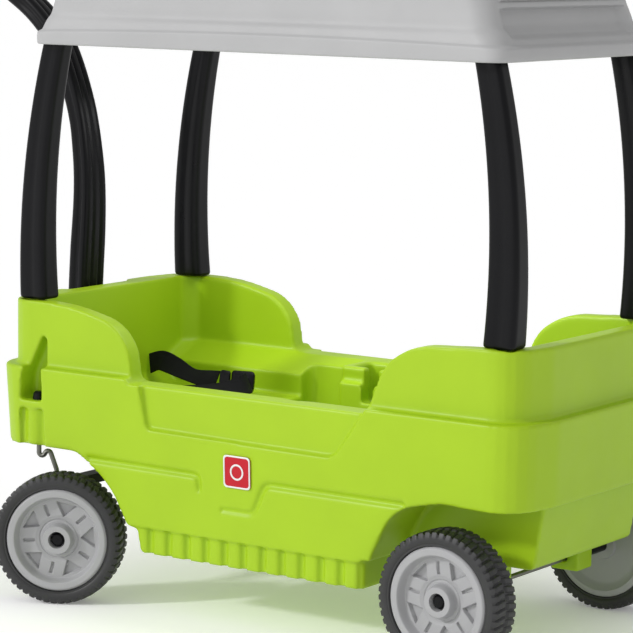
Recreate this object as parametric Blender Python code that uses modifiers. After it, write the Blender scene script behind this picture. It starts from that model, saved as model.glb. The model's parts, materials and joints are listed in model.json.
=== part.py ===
"""Child's two-seat pull wagon with a canopy, linked front steering and an upright pull handle.

Metres, +Z up, +X towards the pull handle, +Y to the wagon's left. Heights in this file are
given above the ground; the empty wagon_frame carries every part and puts the frame's origin
on the flat belly of the body, on the middle plane.
"""
import math

import bmesh
import bpy
from mathutils import Matrix, Vector

# ---------------------------------------------------------------- driving dimensions
GAP = 0.0003                      # clearance between touching parts
BELLY_Z = 0.096                   # underside of the body's skirt
STEP_Z = 0.381                    # moulded step round the body
RIM_Z = 0.489                     # top of the front and rear walls
ENTRY_Z = 0.372                   # top of the low side rim
SEAT_Z = 0.305
SHELF_Z = 0.345                   # inner edge of the seat bolsters and cup consoles
SHELF_WALL_Z = 0.374              # where their sloping top meets the cabin wall
SHELF_LEDGE = 0.004               # narrow level edge inside the slope
FLOOR_Z = 0.125                   # foot-well floor

UPPER_HALF = 0.239                # half width above the step
LOWER_HALF = 0.256                # half width below the step
FRONT_UPPER = 0.532
FRONT_LOWER = 0.548
REAR_UPPER = -0.479
REAR_LOWER = -0.497
CAVITY_HALF = 0.208
CAVITY_FRONT = 0.486
CAVITY_REAR = -0.446
BOLSTER_HALF = 0.150
CONSOLE_HALF = 0.126
WELL_HALF = 0.196

WHEEL_R = 0.107
WHEEL_WIDTH = 0.060
RIM_R = 0.0846
WHEEL_STEPS = 32
AXLE_R = 0.0042
AXLE_BORE_R = 0.0046
CAP_R = 0.0112
REAR_WHEEL_X = -0.360
REAR_WHEEL_Y = 0.247

KINGPIN_X = 0.456
KINGPIN_Y = 0.232
ARM = 0.030                       # kingpin back to the upright stretch that the steering bar turns on
TRAIL = 0.053                     # kingpin back to the wheel's axle
OUTBOARD = 0.063                  # kingpin axis to the wheel's middle plane
STEER_AT_REST = math.radians(26)
POCKET_Z = 0.324                  # ledge that the kingpin cap stands on

BAR_Z = 0.180                     # middle height of the steering bar
TONGUE_LOW = 0.2215               # raised tongue that carries the handle, close under the belly
TONGUE_HIGH = 0.2355
TONGUE_HALF = 0.035
HINGE_Z = 0.2395
HINGE_GAP = 0.030                 # free space in the tongue behind the hinge, for the handle's foot
EAR_INNER = 0.0275
HINGE_REACH = 0.139               # steering bar's cross tube to the handle hinge
HANDLE_WIDTH = 0.050
HANDLE_DEPTH = 0.033
HANDLE_SWELL = 0.20               # how much thicker the handle is at knee height

CANOPY_Z = 0.911
CANOPY_TOP = 1.046
CANOPY_FRONT = 0.466
CANOPY_REAR = -0.436
CANOPY_HALF = 0.243
CANOPY_WALL = 0.004

FRONT_DRAFT = 1.15                # how much more the canopy's ends draw in than its sides
REAR_DRAFT = 2.0
BOSS_INNER_Y = 0.1775
BOSS_LOW_Z = 0.9140
BOSS_TOP_Z = 0.9310
SCREW_Z = 0.9225
SCREW_R = 0.0020

POST_BOW = 0.0170
POST_HEAD_Z = 0.9335
TENON_Z = 0.432                   # lower end of the tenon that plugs each post into the body
TENON_HALF_X = 0.0120
TENON_HALF_Y = 0.0100
TENON_OUT_X = 0.012               # tenon's place outwards from the post's middle line
TENON_OUT_Y = 0.010
TENON_CORNER = 0.005
POST_STEPS = 10

GREEN = (0.42, 0.67, 0.055, 1.0)
BLACK = (0.018, 0.018, 0.020, 1.0)
GREY = (0.50, 0.50, 0.50, 1.0)
LIGHT_GREY = (0.56, 0.56, 0.57, 1.0)
STEEL = (0.55, 0.55, 0.56, 1.0)

SIDES = (("left", 1), ("right", -1))


# ---------------------------------------------------------------- scene and materials
def start():
    for old in list(bpy.data.objects):
        bpy.data.objects.remove(old, do_unlink=True)
    collections = []
    for name in ("pull_wagon", "pull_wagon_cutters"):
        collection = bpy.data.collections.new(name)
        bpy.context.scene.collection.children.link(collection)
        collections.append(collection)
    return collections


PARTS, CUTTERS = start()


def plain_material(name, colour, roughness, metallic=0.0):
    material = bpy.data.materials.new(name)
    material.use_nodes = True
    shader = material.node_tree.nodes["Principled BSDF"]
    shader.inputs["Base Color"].default_value = colour
    shader.inputs["Roughness"].default_value = roughness
    shader.inputs["Metallic"].default_value = metallic
    return material


LIME_PLASTIC = plain_material("lime_plastic", GREEN, 0.45)
BLACK_PLASTIC = plain_material("black_plastic", BLACK, 0.35)
CANOPY_PLASTIC = plain_material("canopy_plastic", LIGHT_GREY, 0.5)
RIM_PLASTIC = plain_material("rim_plastic", GREY, 0.45)
TYRE_PLASTIC = plain_material("tyre_plastic", BLACK, 0.6)
BRIGHT_STEEL = plain_material("zinc_steel", STEEL, 0.35, 1.0)
WEBBING = plain_material("black_webbing", BLACK, 0.8)
BADGE_RED = plain_material("badge_red", (0.60, 0.02, 0.03, 1.0), 0.4)


# ---------------------------------------------------------------- object helpers
def empty(name, location=(0, 0, 0), turn=0.0, parent=None):
    holder = bpy.data.objects.new(name, None)
    holder.location = location
    holder.rotation_euler = (0, 0, turn)
    holder.parent = parent
    PARTS.objects.link(holder)
    return holder


FRAME = empty("wagon_frame", (0, 0, -BELLY_Z))


def place(obj, parent, material, location=(0, 0, 0), rotation=(0, 0, 0)):
    """Put a part on its parent and give it its material."""
    for collection in list(obj.users_collection):
        collection.objects.unlink(obj)
    PARTS.objects.link(obj)
    obj.parent = parent
    obj.location = location
    obj.rotation_euler = rotation
    obj.data.materials.clear()
    obj.data.materials.append(material)
    return obj


def as_cutter(obj):
    """Keep a shape only as the operand of a Boolean; it moves with the frame."""
    for collection in list(obj.users_collection):
        collection.objects.unlink(obj)
    CUTTERS.objects.link(obj)
    obj.parent = FRAME
    obj.hide_render = True
    obj.display_type = "WIRE"
    return obj


def combine(target, other, operation, label, solver="EXACT"):
    step = target.modifiers.new(label, "BOOLEAN")
    step.operation = operation
    step.solver = solver
    step.object = as_cutter(other)


def mesh_object(name, bm, smooth_angle=None):
    bmesh.ops.recalc_face_normals(bm, faces=bm.faces)
    mesh = bpy.data.meshes.new(name)
    bm.to_mesh(mesh)
    bm.free()
    if smooth_angle:
        mesh.shade_smooth()
        mesh.set_sharp_from_angle(angle=math.radians(smooth_angle))
    obj = bpy.data.objects.new(name, mesh)
    bpy.context.scene.collection.objects.link(obj)
    return obj


def curve_to_mesh(curve_obj, smooth_angle=None):
    """Turn a filled or bevelled curve into a closed mesh object of the same name."""
    name = curve_obj.name
    depsgraph = bpy.context.evaluated_depsgraph_get()
    mesh = bpy.data.meshes.new_from_object(curve_obj.evaluated_get(depsgraph))
    matrix = curve_obj.matrix_world.copy()
    bpy.data.objects.remove(curve_obj, do_unlink=True)
    bm = bmesh.new()
    bm.from_mesh(mesh)
    bmesh.ops.remove_doubles(bm, verts=bm.verts, dist=0.00002)
    bpy.data.meshes.remove(mesh)
    obj = mesh_object(name, bm, smooth_angle)
    obj.matrix_world = matrix
    return obj


def rounded(corners, steps=5):
    """Closed outline from corners (a, b, radius), with an arc at each corner that has a radius."""
    points = []
    count = len(corners)
    for index, (a, b, radius) in enumerate(corners):
        here = Vector((a, b))
        before = Vector(corners[index - 1][:2]) - here
        after = Vector(corners[(index + 1) % count][:2]) - here
        if radius <= 0:
            points.append(here)
            continue
        before.normalize()
        after.normalize()
        half = before.angle(after) / 2
        reach = radius / math.tan(half)
        centre = here + (before + after).normalized() * (radius / math.sin(half))
        first = here + before * reach - centre
        last = here + after * reach - centre
        sweep = first.angle_signed(last)
        for step in range(steps + 1):
            spoke = first.copy()
            spoke.rotate(Matrix.Rotation(-sweep * step / steps, 2))
            points.append(centre + spoke)
    return points


TURN_YZ = Matrix(((0, 0, 1, 0), (1, 0, 0, 0), (0, 1, 0, 0), (0, 0, 0, 1)))


def extruded(name, outlines, low, high, plane="XY", smooth_angle=None):
    """Solid from flat outlines; the first is the outside, any others are holes."""
    curve = bpy.data.curves.new(name, "CURVE")
    curve.dimensions = "2D"
    curve.fill_mode = "BOTH"
    curve.extrude = (high - low) / 2
    for outline in outlines:
        spline = curve.splines.new("POLY")
        spline.points.add(len(outline) - 1)
        for point, (a, b) in zip(spline.points, outline):
            point.co = (a, b, 0, 1)
        spline.use_cyclic_u = True
    obj = bpy.data.objects.new(name, curve)
    bpy.context.scene.collection.objects.link(obj)
    solid = curve_to_mesh(obj, smooth_angle)
    middle = (low + high) / 2
    turns = {
        "XY": Matrix.Translation((0, 0, middle)),
        "XZ": Matrix.Translation((0, middle, 0)) @ Matrix.Rotation(math.radians(90), 4, "X"),
        "YZ": Matrix.Translation((middle, 0, 0)) @ TURN_YZ,
    }
    solid.data.transform(turns[plane])
    return solid


def box(name, low, high):
    bm = bmesh.new()
    bmesh.ops.create_cube(bm, size=1.0)
    size = Vector(high) - Vector(low)
    middle = (Vector(high) + Vector(low)) / 2
    bmesh.ops.scale(bm, vec=size, verts=bm.verts)
    bmesh.ops.translate(bm, vec=middle, verts=bm.verts)
    return mesh_object(name, bm)


def rod(name, radius, low, high, centre=(0.0, 0.0), axis="Z", sides=20):
    """Round bar along an axis; centre is its place on the other two axes in X, Y, Z order."""
    bm = bmesh.new()
    bmesh.ops.create_cone(bm, cap_ends=True, segments=sides, radius1=radius, radius2=radius, depth=high - low)
    middle = (low + high) / 2
    turns = {
        "X": Matrix.Translation((middle, centre[0], centre[1])) @ Matrix.Rotation(math.radians(90), 4, "Y"),
        "Y": Matrix.Translation((centre[0], middle, centre[1])) @ Matrix.Rotation(math.radians(90), 4, "X"),
        "Z": Matrix.Translation((centre[0], centre[1], middle)),
    }
    bm.transform(turns[axis])
    return mesh_object(name, bm, 40)


def turned(name, profile, steps, smooth_angle=35):
    """Ring or disc from a closed profile (radius, height) spun about Z."""
    bm = bmesh.new()
    verts = [bm.verts.new((radius, 0, height)) for radius, height in profile]
    for index, vert in enumerate(verts):
        bm.edges.new((vert, verts[(index + 1) % len(verts)]))
    mesh = bpy.data.meshes.new(name)
    bm.to_mesh(mesh)
    bm.free()
    obj = bpy.data.objects.new(name, mesh)
    bpy.context.scene.collection.objects.link(obj)
    spin = obj.modifiers.new("spin", "SCREW")
    spin.steps = steps
    spin.render_steps = steps
    spin.use_merge_vertices = True
    spin.merge_threshold = 0.0001
    spin.use_smooth_shade = True
    return obj


def loft(name, rings, smooth_angle=40):
    """Closed skin through rings of equal point count, with flat ends."""
    bm = bmesh.new()
    rows = [[bm.verts.new(point) for point in ring] for ring in rings]
    count = len(rows[0])
    for lower, upper in zip(rows, rows[1:]):
        for index in range(count):
            follow = (index + 1) % count
            bm.faces.new((lower[index], lower[follow], upper[follow], upper[index]))
    bm.faces.new(list(reversed(rows[0])))
    bm.faces.new(rows[-1])
    return mesh_object(name, bm, smooth_angle)


def bent_path(corners, radii, steps=5):
    """Open path through 3-D corners, with an arc of the given radius at each inner corner."""
    corners = [Vector(corner) for corner in corners]
    points = [corners[0]]
    for before, here, after, radius in zip(corners, corners[1:], corners[2:], radii):
        inward = (before - here).normalized()
        outward = (after - here).normalized()
        half = inward.angle(outward) / 2
        reach = radius / math.tan(half)
        centre = here + (inward + outward).normalized() * (radius / math.sin(half))
        first = here + inward * reach - centre
        last = here + outward * reach - centre
        turn = first.rotation_difference(last)
        for step in range(steps + 1):
            part = turn.copy()
            part = part.__class__().slerp(turn, step / steps)
            points.append(centre + part @ first)
    points.append(corners[-1])
    return points


def wire(name, points, radius, resolution=2):
    curve = bpy.data.curves.new(name, "CURVE")
    curve.dimensions = "3D"
    curve.bevel_depth = radius
    curve.bevel_resolution = resolution
    curve.use_fill_caps = True
    spline = curve.splines.new("POLY")
    spline.points.add(len(points) - 1)
    for point, co in zip(spline.points, points):
        point.co = (*co, 1)
    obj = bpy.data.objects.new(name, curve)
    bpy.context.scene.collection.objects.link(obj)
    return curve_to_mesh(obj, 40)


# ---------------------------------------------------------------- posts
def post_middle(end, height):
    """Fore-and-aft place of a post's middle line, which bows outwards between body and canopy."""
    span = (height - RIM_Z) / (CANOPY_Z - RIM_Z)
    bow = 4 * POST_BOW * (span + 0.02) * (0.98 - span)
    if end > 0:
        return 0.475 - 0.034 * span + bow
    return -0.4266 + 0.0313 * span - bow


def post_place(end, side, height, outline):
    """Set a flat outline at a post's middle line at a height."""
    span = (height - RIM_Z) / (CANOPY_Z - RIM_Z)
    middle_y = 0.2065 - 0.0045 * span
    return [Vector((post_middle(end, height) + a, side * (middle_y + b), height)) for a, b in outline]


def post_section(end, side, height, grow=0.0):
    """Rounded section of a canopy post at a height; posts thin towards the top."""
    span = (height - RIM_Z) / (CANOPY_Z - RIM_Z)
    half_x = 0.0280 - 0.0060 * span + grow
    half_y = 0.0220 - 0.0048 * span + grow
    corner = 0.012 + grow
    outline = rounded([
        (half_x, half_y, corner), (-half_x, half_y, corner),
        (-half_x, -half_y, corner), (half_x, -half_y, corner),
    ], steps=3)
    return post_place(end, side, height, outline)


def tenon_section(end, side, height, grow=0.0):
    """Section of the tenon below a post; it stands straight down from the post's foot."""
    half_x = TENON_HALF_X + grow
    half_y = TENON_HALF_Y + grow
    outline = rounded([
        (half_x, half_y, TENON_CORNER), (-half_x, half_y, TENON_CORNER),
        (-half_x, -half_y, TENON_CORNER), (half_x, -half_y, TENON_CORNER),
    ], steps=3)
    outline = [(a + end * TENON_OUT_X, b + TENON_OUT_Y) for a, b in outline]
    foot = post_place(end, side, RIM_Z, outline)
    return [Vector((point.x, point.y, height)) for point in foot]


def post_solid(name, end, side, low, high, count, grow=0.0):
    heights = [low + (high - low) * step / (count - 1) for step in range(count)]
    return loft(name, [post_section(end, side, height, grow) for height in heights])


def canopy_posts():
    for end_name, end in (("front", 1), ("rear", -1)):
        for side_name, side in SIDES:
            name = f"post_{end_name}_{side_name}"
            shoulder = RIM_Z + GAP
            rings = [tenon_section(end, side, height) for height in (TENON_Z, shoulder)]
            rings += [post_section(end, side, shoulder + (POST_HEAD_Z - shoulder) * step / POST_STEPS)
                      for step in range(POST_STEPS + 1)]
            place(loft(name, rings), FRAME, BLACK_PLASTIC)


# ---------------------------------------------------------------- body
def plan_outline(front, rear, half, corner, bow):
    """Top view of the body: straight sides, rounded corners and slightly bowed ends."""
    ends = 0.62 * half
    return rounded([
        (front, ends, 0.10), (front - bow, half, corner), (rear + bow, half, corner), (rear, ends, 0.10),
        (rear, -ends, 0.10), (rear + bow, -half, corner), (front - bow, -half, corner), (front, -ends, 0.10),
    ], steps=5)


def taper(obj, low_z, high_z, shrink):
    """Draw the lower end of a solid inwards, as a moulding's draft does."""
    for vert in obj.data.vertices:
        share = (high_z - vert.co.z) / (high_z - low_z)
        vert.co.x *= 1 - shrink * share * 0.5
        vert.co.y *= 1 - shrink * share


def side_profile():
    """Outline of the body from the side: rim, low entry, wheel clearances and belly."""
    return rounded([
        (0.536, 0.249, 0.028), (0.550, 0.330, 0), (0.600, 0.400, 0), (0.600, RIM_Z, 0),
        (0.390, RIM_Z - 0.002, 0.40), (0.292, ENTRY_Z + 0.092, 0.080), (0.262, ENTRY_Z + 0.054, 0.060),
        (0.253, ENTRY_Z, 0.012),
        (-0.204, ENTRY_Z, 0.012), (-0.236, ENTRY_Z + 0.080, 0.080), (-0.290, RIM_Z - 0.006, 0.110),
        (-0.400, RIM_Z, 0.2), (-0.600, RIM_Z, 0), (-0.600, 0.247, 0),
        (-0.470, 0.247, 0), (-0.452, 0.144, 0.012), (-0.200, 0.144, 0), (-0.200, BELLY_Z, 0),
        (0.234, BELLY_Z, 0.006), (0.242, 0.1345, 0), (0.256, 0.1365, 0.004), (0.296, 0.205, 0.10),
        (0.362, 0.249, 0.05),
    ], steps=6)


def cavity_ring(half, height):
    """Plan of the cabin at a height; its corners are cut off to leave material under the posts."""
    front_cut = 0.022
    rear_cut = 0.036
    bend = 0.015
    outline = rounded([
        (CAVITY_FRONT, half - front_cut, bend), (CAVITY_FRONT - front_cut, half, bend),
        (CAVITY_REAR + rear_cut, half, bend), (CAVITY_REAR, half - rear_cut, bend),
        (CAVITY_REAR, rear_cut - half, bend), (CAVITY_REAR + rear_cut, -half, bend),
        (CAVITY_FRONT - front_cut, -half, bend), (CAVITY_FRONT, front_cut - half, bend),
    ], steps=3)
    return [Vector((a, b, height)) for a, b in outline]


def seat_profile():
    """Side view of the space between the bolsters: two upright seat backs and two seat pans."""
    cove = 0.018
    return rounded([
        (CAVITY_FRONT, SHELF_Z + 0.150, 0), (CAVITY_FRONT, SEAT_Z + cove, 0.012),
        (CAVITY_FRONT - cove, SEAT_Z, 0.012), (0.190, SEAT_Z, 0), (0.150, SHELF_Z, 0),
        (0.150, SHELF_Z + 0.150, 0), (-0.120, SHELF_Z + 0.150, 0), (-0.120, SHELF_Z, 0),
        (-0.150, SEAT_Z, 0), (CAVITY_REAR + cove, SEAT_Z, 0.012), (CAVITY_REAR, SEAT_Z + cove, 0.012),
        (CAVITY_REAR, SHELF_Z + 0.150, 0),
    ], steps=3)


def carve_cabin(body):
    upper = loft("cabin_upper", [
        cavity_ring(BOLSTER_HALF + SHELF_LEDGE, SHELF_Z), cavity_ring(CAVITY_HALF, SHELF_WALL_Z),
        cavity_ring(CAVITY_HALF, 0.60),
    ])
    combine(body, upper, "DIFFERENCE", "cabin_upper")
    seats = extruded("cabin_seats", [seat_profile()], -BOLSTER_HALF, BOLSTER_HALF, "XZ")
    combine(body, seats, "DIFFERENCE", "cabin_seats")
    well = extruded("foot_well", [rounded([
        (0.205, WELL_HALF, 0.015), (0.108, WELL_HALF, 0.012), (0.100, CONSOLE_HALF, 0.010),
        (-0.112, CONSOLE_HALF, 0.010), (-0.120, WELL_HALF, 0.012), (-0.172, WELL_HALF, 0.015),
        (-0.172, -WELL_HALF, 0.015), (-0.120, -WELL_HALF, 0.012), (-0.112, -CONSOLE_HALF, 0.010),
        (0.100, -CONSOLE_HALF, 0.010), (0.108, -WELL_HALF, 0.012), (0.205, -WELL_HALF, 0.015),
    ], steps=3)], FLOOR_Z, 0.60)
    taper(well, FLOOR_Z, 0.60, 0.16)
    combine(body, well, "DIFFERENCE", "foot_well")
    console = extruded("console_right", [rounded([
        (0.099, -0.128, 0.006), (-0.111, -0.128, 0.006), (-0.111, -0.222, 0), (0.099, -0.222, 0),
    ], steps=3)], 0.320, ENTRY_Z - 0.0008)
    combine(body, console, "UNION", "console_right")


def carve_cup_holders(body):
    for side_name, side in SIDES:
        round_cup = rod(f"cup_round_{side_name}", 0.0385, 0.302, 0.42, (-0.050, side * 0.1700), sides=28)
        combine(body, round_cup, "DIFFERENCE", f"cup_round_{side_name}")
        square_cup = extruded(f"cup_square_{side_name}", [rounded([
            (0.082, side * 0.1700 + 0.024, 0.006), (0.012, side * 0.1700 + 0.024, 0.006),
            (0.012, side * 0.1700 - 0.024, 0.006), (0.082, side * 0.1700 - 0.024, 0.006),
        ], steps=2)], 0.302, 0.42)
        combine(body, square_cup, "DIFFERENCE", f"cup_square_{side_name}")
        inner = sorted((side * 0.115, side * 0.160))
        slot = box(f"cup_slot_{side_name}", (0.022, inner[0], 0.312), (0.050, inner[1], 0.42))
        combine(body, slot, "DIFFERENCE", f"cup_slot_{side_name}")


def arch_profile():
    """Rear wheel opening from the side, open behind and below."""
    return rounded([
        (-0.214, 0.080, 0), (-0.219, 0.150, 0.05), (-0.262, 0.232, 0.075), (-0.345, 0.250, 0.10),
        (-0.440, 0.247, 0), (-0.600, 0.247, 0), (-0.600, 0.080, 0),
    ], steps=5)


def carve_arches(body):
    for side_name, side in SIDES:
        low, high = sorted((side * 0.150, side * 0.320))
        arch = extruded(f"rear_arch_{side_name}", [arch_profile()], low, high, "XZ")
        combine(body, arch, "DIFFERENCE", f"rear_arch_{side_name}")


def door_outline():
    """Entry panel under the low rim, as seen from the side."""
    return rounded([
        (0.232, 0.395, 0), (0.213, 0.302, 0.010), (-0.152, 0.298, 0.030), (-0.222, 0.395, 0),
    ], steps=4)


def band(points, width):
    """Strip of one width along an open line, as a closed outline."""
    upper = []
    lower = []
    for index, point in enumerate(points):
        before = Vector(points[max(index - 1, 0)])
        after = Vector(points[min(index + 1, len(points) - 1)])
        along = (after - before).normalized()
        normal = Vector((-along.y, along.x)) * (width / 2)
        upper.append(Vector(point) + normal)
        lower.append(Vector(point) - normal)
    return upper + list(reversed(lower))


def open_arcs(corners, radius, steps=4):
    flat = [(a, b, 0.0) for a, b in corners]
    radii = [radius] * (len(corners) - 2)
    return [(point.x, point.y) for point in bent_path(flat, radii, steps)]


def groove_lines():
    """The two moulded side grooves: one behind the front wheel, one that dips under the badge."""
    front = open_arcs([(0.340, 0.240), (0.109, 0.239), (0.109, 0.212)], 0.010)
    rear = open_arcs([(-0.285, 0.240), (-0.021, 0.240), (0.002, 0.190), (0.068, 0.190)], 0.016)
    return front, rear


def carve_side_mouldings(body):
    for side_name, side in SIDES:
        low, high = sorted((side * 0.2445, side * 0.30))
        door = extruded(f"door_{side_name}", [door_outline()], low, high, "XZ")
        combine(body, door, "DIFFERENCE", f"door_{side_name}")
        low, high = sorted((side * 0.2440, side * 0.30))
        for index, line in enumerate(groove_lines()):
            groove = extruded(f"groove_{side_name}_{index}", [band(line, 0.011)], low, high, "XZ")
            combine(body, groove, "DIFFERENCE", f"groove_{side_name}_{index}")


FLUTES = 12
FLUTE_PITCH = 0.0375
FLUTE_WIDTH = 0.015
SKIRT_Z = 0.1395


def skirt_outline(side):
    """Plan of the strip cut from the belly's side: a shallow rebate with a row of vertical flutes."""
    outer = 0.300
    rebate = 0.2405
    flute = 0.2325
    points = [(0.300, outer), (0.300, rebate)]
    for index in range(FLUTES):
        start = 0.222 - FLUTE_PITCH * index
        points += [
            (start, rebate), (start - 0.003, flute),
            (start - FLUTE_WIDTH + 0.003, flute), (start - FLUTE_WIDTH, rebate),
        ]
    points += [(-0.260, rebate), (-0.260, outer)]
    return [(a, side * b) for a, b in points]


def carve_skirt(body):
    for side_name, side in SIDES:
        skirt = extruded(f"skirt_{side_name}", [skirt_outline(side)], BELLY_Z - 0.02, SKIRT_Z)
        combine(body, skirt, "DIFFERENCE", f"skirt_{side_name}", "MANIFOLD")


def pocket_outline():
    """Side pocket over each kingpin, which narrows upwards to a point."""
    return rounded([
        (KINGPIN_X + 0.025, POCKET_Z, 0.003), (KINGPIN_X + 0.019, 0.368, 0.010),
        (KINGPIN_X - 0.014, 0.434, 0.002),
        (KINGPIN_X - 0.022, 0.426, 0.003), (KINGPIN_X - 0.022, POCKET_Z, 0.003),
    ], steps=2)


COLUMN_RECESS_Y = 0.2420          # how far in the shallow panel round each kingpin column reaches


def carve_kingpin_pockets(body):
    for side_name, side in SIDES:
        low, high = sorted((side * 0.216, side * 0.320))
        pocket = extruded(f"pocket_{side_name}", [pocket_outline()], low, high, "XZ")
        combine(body, pocket, "DIFFERENCE", f"pocket_{side_name}")
        low, high = sorted((side * COLUMN_RECESS_Y, side * 0.320))
        recess = extruded(f"column_recess_{side_name}", [rounded([
            (KINGPIN_X + 0.026, POCKET_Z - 0.012, 0.006), (KINGPIN_X + 0.026, 0.235, 0),
            (KINGPIN_X - 0.026, 0.235, 0), (KINGPIN_X - 0.026, POCKET_Z - 0.012, 0.006),
        ], steps=2)], low, high, "XZ")
        combine(body, recess, "DIFFERENCE", f"column_recess_{side_name}")
        column = rod(f"column_{side_name}", 0.0215, 0.2493, POCKET_Z - 0.002,
                     (KINGPIN_X, side * 0.2290), sides=24)
        combine(body, column, "UNION", f"column_{side_name}")
        bore = rod(f"kingpin_bore_{side_name}", AXLE_R + 0.0006, 0.20, 0.40,
                   (KINGPIN_X, side * KINGPIN_Y), sides=16)
        combine(body, bore, "DIFFERENCE", f"kingpin_bore_{side_name}")


def carve_handle_recess(body):
    recess = extruded("handle_recess", [rounded([
        (0.700, 0.096, 0), (0.552, 0.096, 0), (0.519, 0.080, 0.012), (0.519, -0.080, 0.012),
        (0.552, -0.096, 0), (0.700, -0.096, 0),
    ], steps=3)], 0.20, 0.60)
    combine(body, recess, "DIFFERENCE", "handle_recess")


def add_axle_saddles(body):
    for side_name, side in SIDES:
        low, high = sorted((side * 0.100, side * 0.149))
        saddle = box(f"saddle_{side_name}", (-0.385, low, 0.088), (-0.335, high, 0.150))
        combine(body, saddle, "UNION", f"saddle_{side_name}")
    bore = rod("rear_axle_bore", AXLE_R + 0.0005, -0.20, 0.20, (REAR_WHEEL_X, WHEEL_R), axis="Y", sides=16)
    combine(body, bore, "DIFFERENCE", "rear_axle_bore")


def carve_post_sockets(body):
    for end_name, end in (("front", 1), ("rear", -1)):
        for side_name, side in SIDES:
            name = f"socket_{end_name}_{side_name}"
            rings = [tenon_section(end, side, height, 0.0005) for height in (TENON_Z - 0.0006, RIM_Z + 0.03)]
            socket = loft(name, rings)
            combine(body, socket, "DIFFERENCE", name)


def body_shell():
    body = extruded("body_shell", [plan_outline(FRONT_LOWER, REAR_LOWER, LOWER_HALF, 0.060, 0.018)],
                    BELLY_Z - 0.004, STEP_Z)
    taper(body, BELLY_Z, STEP_Z, 0.045)
    upper = extruded("body_upper", [plan_outline(FRONT_UPPER, REAR_UPPER, UPPER_HALF, 0.052, 0.016)],
                     STEP_Z - 0.03, 0.53)
    combine(body, upper, "UNION", "upper")
    profile = extruded("body_side_profile", [side_profile()], -0.33, 0.33, "XZ")
    combine(body, profile, "INTERSECT", "side_profile")
    carve_cabin(body)
    carve_cup_holders(body)
    carve_arches(body)
    carve_side_mouldings(body)
    carve_skirt(body)
    carve_kingpin_pockets(body)
    carve_handle_recess(body)
    add_axle_saddles(body)
    carve_post_sockets(body)
    place(body, FRAME, LIME_PLASTIC)


def badge():
    """Plain moulded plate under the entry, one on each side."""
    for side_name, side in SIDES:
        outline = rounded([(0.026, 0.026, 0.006), (-0.026, 0.026, 0.006),
                           (-0.026, -0.026, 0.006), (0.026, -0.026, 0.006)], steps=4)
        plate = extruded(f"side_badge_{side_name}", [outline], -0.0008, 0.0008)
        place(plate, FRAME, BADGE_RED, (0.030, side * 0.2523, 0.2545), (math.radians(90 - side * 2.3), 0, 0))


# ---------------------------------------------------------------- canopy
def canopy_ring(inset, height, corner, skin):
    """One level of the canopy: a rounded rectangle whose ends draw in more than its sides."""
    front = CANOPY_FRONT - inset * FRONT_DRAFT - skin
    rear = CANOPY_REAR + inset * REAR_DRAFT + skin
    half = CANOPY_HALF - inset - skin
    outline = rounded([
        (front, half, corner), (rear, half, corner), (rear, -half, corner), (front, -half, corner),
    ], steps=5)
    return [Vector((a, b, height)) for a, b in outline]


def canopy_levels(skin):
    """Side inset, height and corner radius of each level from the lip to the roof."""
    return [
        (0.000, CANOPY_Z, 0.030), (0.000, CANOPY_Z + 0.020 - skin * 0.4, 0.030),
        (0.009, CANOPY_Z + 0.026 - skin * 0.6, 0.032), (0.024, CANOPY_Z + 0.112 - skin, 0.040),
        (0.032, CANOPY_Z + 0.126 - skin, 0.045), (0.053, CANOPY_TOP - 0.006 - skin, 0.050),
        (0.120, CANOPY_TOP - skin, 0.050),
    ]


def canopy_corner(end, side):
    """Socket block of one canopy corner: its x and y limits, from the middle outwards."""
    edge = CANOPY_FRONT if end > 0 else -CANOPY_REAR
    outer_x = end * (edge - 0.003)
    outer_y = side * (CANOPY_HALF - 0.003)
    return end * (edge - 0.085), outer_x, side * BOSS_INNER_Y, outer_y


def canopy_roof():
    outside = [canopy_ring(*level, 0.0) for level in canopy_levels(0.0)]
    inside = [canopy_ring(*level, CANOPY_WALL) for level in canopy_levels(CANOPY_WALL)]
    roof = loft("canopy_roof", list(reversed(inside)) + outside)
    for end_name, end in (("front", 1), ("rear", -1)):
        for side_name, side in SIDES:
            label = f"{end_name}_{side_name}"
            inner_x, outer_x, inner_y, outer_y = canopy_corner(end, side)
            boss = extruded(f"canopy_boss_{label}", [rounded([
                (inner_x, inner_y, 0.006), (inner_x, outer_y, 0),
                (outer_x, outer_y, 0.029), (outer_x, inner_y, 0),
            ], steps=4)], BOSS_LOW_Z, BOSS_TOP_Z)
            combine(roof, boss, "UNION", f"boss_{label}")
            hole = post_solid(f"canopy_socket_{label}", end, side, 0.90, POST_HEAD_Z + 0.006, 4, 0.0005)
            combine(roof, hole, "DIFFERENCE", f"socket_{label}")
            screw_hole = rod(f"canopy_screw_hole_{label}", SCREW_R + 0.0004, 0.170, 0.1905,
                             (post_middle(end, SCREW_Z), SCREW_Z), axis="Y", sides=12)
            if side < 0:
                screw_hole.data.transform(Matrix.Scale(-1, 4, (0, 1, 0)))
                screw_hole.data.flip_normals()
            combine(roof, screw_hole, "DIFFERENCE", f"screw_{label}")
    place(roof, FRAME, CANOPY_PLASTIC)


def canopy_screws():
    """Pan head screws through the inner wall of each canopy socket, up to the post."""
    for end_name, end in (("front", 1), ("rear", -1)):
        for side_name, side in SIDES:
            screw = turned(f"canopy_screw_{end_name}_{side_name}", [
                (0.0006, 0.0030), (0.0032, 0.0029), (0.0048, 0.0015), (0.0048, 0.0), (SCREW_R, 0.0),
                (SCREW_R, -0.0058), (0.0006, -0.0058),
            ], 12)
            place(screw, FRAME, BRIGHT_STEEL, (post_middle(end, SCREW_Z), side * (BOSS_INNER_Y - GAP), SCREW_Z),
                  (math.radians(90 * side), 0, 0))


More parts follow.
